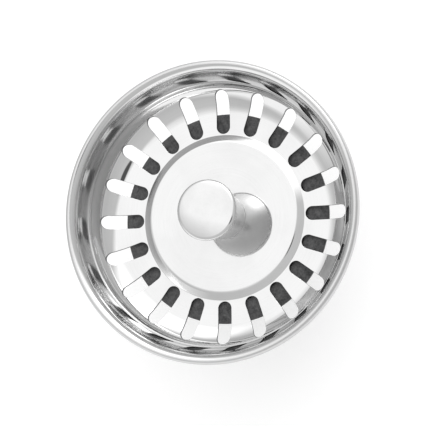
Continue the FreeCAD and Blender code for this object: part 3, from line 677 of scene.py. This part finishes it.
def makeSpringHalf(name, size, first, last):
    radius, wire = size["meanDiameter"] / 2, size["wireDiameter"] / 2
    pitch = 2 * size["halfLength"] / size["turns"]
    turns = np.linspace(first, last, round((last - first) * size["perTurn"]) + 1)
    angles = 2 * math.pi * turns
    out = np.column_stack([np.zeros_like(angles), np.cos(angles), np.sin(angles)])
    axis = np.column_stack([pitch * turns - size["halfLength"], np.zeros((len(turns), 2))])
    centres = axis + radius * out
    centres[:, 2] += size["height"]
    ways = np.column_stack([np.full_like(angles, pitch), -2 * math.pi * radius * np.sin(angles),
                            2 * math.pi * radius * np.cos(angles)])
    ways /= np.linalg.norm(ways, axis=1)[:, None]
    sides = np.cross(ways, out)
    rolls = evenAngles(size["around"])
    facings = np.cos(rolls)[None, :, None] * out[:, None] + np.sin(rolls)[None, :, None] * sides[:, None]
    points = centres[:, None] + wire * facings
    patches = [(points.reshape(-1, 3), facings.reshape(-1, 3), gridQuads(len(turns), len(rolls), True))]
    for end, way in ((0, -ways[0]), (-1, ways[-1])):
        cap = np.concatenate([points[end], np.repeat(centres[end][None], len(rolls), axis=0)])
        patches.append((cap, np.repeat(way[None], len(cap), axis=0), gridQuads(2, len(rolls), True)))
    return buildPiece(name, patches)


middleTurn = springSizes["turns"] / 2
springHalves = {"springLeftHalf": (0, middleTurn, "left_ball_press"),
                "springRightHalf": (middleTurn, springSizes["turns"], "right_ball_press")}
for name, (first, last, joint) in springHalves.items():
    half = finishPiece(makeSpringHalf(name, springSizes, first, last), steels["springSteel"], "catch_spring")
    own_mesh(half)
print("spring made")


# CAD nodes that keep their shape and get a finish
nodeFinishes = {
    "seal_plate": steels["satinSteel"], "clamp_washer": steels["plainSteel"],
    "lock_washer": steels["plainSteel"], "clamp_nut": steels["plainSteel"],
    "knob_stud": steels["plainSteel"], "catch_post": steels["turnedSteel"],
    "catch_ball_left": steels["ballSteel"], "catch_ball_right": steels["ballSteel"],
    "rubber_seal": rubber, "centre_gasket": rubber,
}
for node, material in nodeFinishes.items():
    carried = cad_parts[node]
    carried.data.materials.clear()
    carried.data.materials.append(material)
print("carried nodes finished:", len(nodeFinishes))


# Floor, light and camera
floorLook = {"size": 3.0, "colour": (0.60, 0.60, 0.60), "glow": 0.50, "roughness": 0.9, "shine": 0.0}
# Tones by direction. A panel is lit inside all of its straight edges; each fades in over a slanted way.
# The lens is the camera's dark spot, which the steel mirrors.
skyLook = {
    "horizon": 0.56, "zenith": 0.78,
    "panels": [
        {"tone": 1.34, "edges": [
            {"slant": (0.37, 1.0, 0.0), "from": -0.26, "to": -0.12},
            {"slant": (1.0, -0.5, 0.0), "from": -0.76, "to": -0.30},
            {"slant": (1.0, 0.0, 0.0), "from": -0.48, "to": -0.08},
            {"slant": (0.27, 0.0, 1.0), "from": 0.45, "to": 0.78}]},
        {"tone": 1.9, "edges": [
            {"slant": (1.0, 0.0, 0.0), "from": 0.35, "to": 0.60},
            {"slant": (0.0, 0.0, 1.0), "from": 0.30, "to": 0.55},
            {"slant": (0.0, 1.0, 0.0), "from": -0.38, "to": -0.20},
            {"slant": (0.0, -1.0, 0.0), "from": -0.64, "to": -0.44}]},
        {"tone": 1.30, "edges": [
            {"slant": (-1.0, 0.0, 0.0), "from": 0.30, "to": 0.75},
            {"slant": (0.0, 0.3, -1.0), "from": -0.60, "to": -0.40}]}],
    "lensAim": (-0.036, -0.325, 0.945), "lensFrom": 0.9925, "lensTo": 0.9960, "lensTone": 0.15,
}
lampLook = {"place": (0.70, -0.02, 0.52), "size": 0.5, "power": 1.2}
viewLook = {"distance": 0.700, "tilt": 19.077, "azimuth": -96.321, "roll": 67.293, "sideways": -2.919,
            "upward": 1.136, "focalPixels": 2655.5, "photoPixels": 426, "sensor": 36.0, "clipEnd": 100}


def makeFloor(look, height):
    half = look["size"] / 2
    mesh = bpy.data.meshes.new("floor")
    corners = [(-half, -half, height), (half, -half, height), (half, half, height), (-half, half, height)]
    mesh.from_pydata(corners, [], [(0, 1, 2, 3)])
    floor = bpy.data.objects.new("floor", mesh)
    bpy.context.scene.collection.objects.link(floor)
    material, nodes, links, shader = newMaterial("paleFloor")
    shader.inputs["Base Color"].default_value = (*look["colour"], 1)
    shader.inputs["Roughness"].default_value = look["roughness"]
    shader.inputs["Specular IOR Level"].default_value = look["shine"]
    shader.inputs["Emission Color"].default_value = plainWhite
    rays = nodes.new("ShaderNodeLightPath").outputs
    seen = mathNode(nodes, links, "MAXIMUM", mathNode(
        nodes, links, "MAXIMUM", rays["Is Camera Ray"], rays["Is Glossy Ray"]), rays["Is Transmission Ray"])
    links.new(mathNode(nodes, links, "MULTIPLY", seen, look["glow"]), shader.inputs["Emission Strength"])
    # Looking up from below, the floor is clear
    below = mathNode(nodes, links, "MULTIPLY", nodes.new("ShaderNodeNewGeometry").outputs["Backfacing"],
                     rays["Is Camera Ray"])
    mix = nodes.new("ShaderNodeMixShader")
    links.new(below, mix.inputs["Fac"])
    links.new(shader.outputs["BSDF"], mix.inputs[1])
    links.new(nodes.new("ShaderNodeBsdfTransparent").outputs["BSDF"], mix.inputs[2])
    links.new(mix.outputs["Shader"], nodes["Material Output"].inputs["Surface"])
    mesh.materials.append(material)


def makeSky(look):
    world = bpy.data.worlds.new("studio")
    bpy.context.scene.world = world
    world.use_nodes = True
    nodes, links = world.node_tree.nodes, world.node_tree.links
    shade = nodes["Background"]
    way = nodes.new("ShaderNodeTexCoord").outputs["Generated"]

    def along(aim):
        node = nodes.new("ShaderNodeVectorMath")
        node.operation = "DOT_PRODUCT"
        links.new(way, node.inputs[0])
        node.inputs[1].default_value = aim
        return node.outputs["Value"]

    tone = rangeNode(nodes, links, along((0, 0, 1)), look["horizon"], look["zenith"])
    for panel in look["panels"]:
        share = 1.0
        for edge in panel["edges"]:
            inside = rangeNode(nodes, links, along(edge["slant"]), 0.0, 1.0, edge["from"], edge["to"])
            share = mathNode(nodes, links, "MULTIPLY", share, inside)
        brighter = mathNode(nodes, links, "SUBTRACT", panel["tone"], tone)
        tone = mathNode(nodes, links, "ADD", tone, mathNode(nodes, links, "MULTIPLY", share, brighter))
    shadow = rangeNode(nodes, links, along(Vector(look["lensAim"]).normalized()), 1.0, look["lensTone"],
                       look["lensFrom"], look["lensTo"])
    tone = mathNode(nodes, links, "MULTIPLY", tone, shadow)
    links.new(tone, shade.inputs["Color"])
    white = nodes.new("ShaderNodeBackground")
    mix = nodes.new("ShaderNodeMixShader")
    white.inputs["Color"].default_value = plainWhite
    links.new(nodes.new("ShaderNodeLightPath").outputs["Is Camera Ray"], mix.inputs["Fac"])
    links.new(shade.outputs["Background"], mix.inputs[1])
    links.new(white.outputs["Background"], mix.inputs[2])
    links.new(mix.outputs["Shader"], nodes["World Output"].inputs["Surface"])


def makeLamp(look):
    data = bpy.data.lights.new("softBox", "AREA")
    data.shape = "DISK"
    data.size = look["size"]
    data.energy = look["power"]
    lamp = bpy.data.objects.new("softBox", data)
    lamp.location = look["place"]
    lamp.rotation_euler = Vector(look["place"]).to_track_quat("Z", "Y").to_euler()
    bpy.context.scene.collection.objects.link(lamp)


def makeCamera(look, aimZ):
    tilt, azimuth, roll = (math.radians(look[key]) for key in ("tilt", "azimuth", "roll"))
    back = Vector((math.sin(tilt) * math.cos(azimuth), math.sin(tilt) * math.sin(azimuth), math.cos(tilt)))
    level = Vector((-math.sin(azimuth), math.cos(azimuth), 0))
    upright = back.cross(level)
    right = level * math.cos(roll) - upright * math.sin(roll)
    up = level * math.sin(roll) + upright * math.cos(roll)
    data = bpy.data.cameras.new("photoView")
    data.sensor_width = look["sensor"]
    data.lens = look["sensor"] * look["focalPixels"] / look["photoPixels"]
    data.clip_end = look["clipEnd"]
    camera = bpy.data.objects.new("photoView", data)
    place = back * look["distance"] + (right * look["sideways"] + up * look["upward"]) * mm
    turn = Matrix((right, up, back)).transposed().to_4x4()
    camera.matrix_world = Matrix.Translation(place + Vector((0, 0, aimZ))) @ turn
    bpy.context.scene.collection.objects.link(camera)
    bpy.context.scene.camera = camera


makeFloor(floorLook, cadBounds[0][2])
makeSky(skyLook)
makeLamp(lampLook)
makeCamera(viewLook, -basketSizes["depth"] * mm)
bpy.context.scene.view_settings.view_transform = "Standard"
print("studio set")
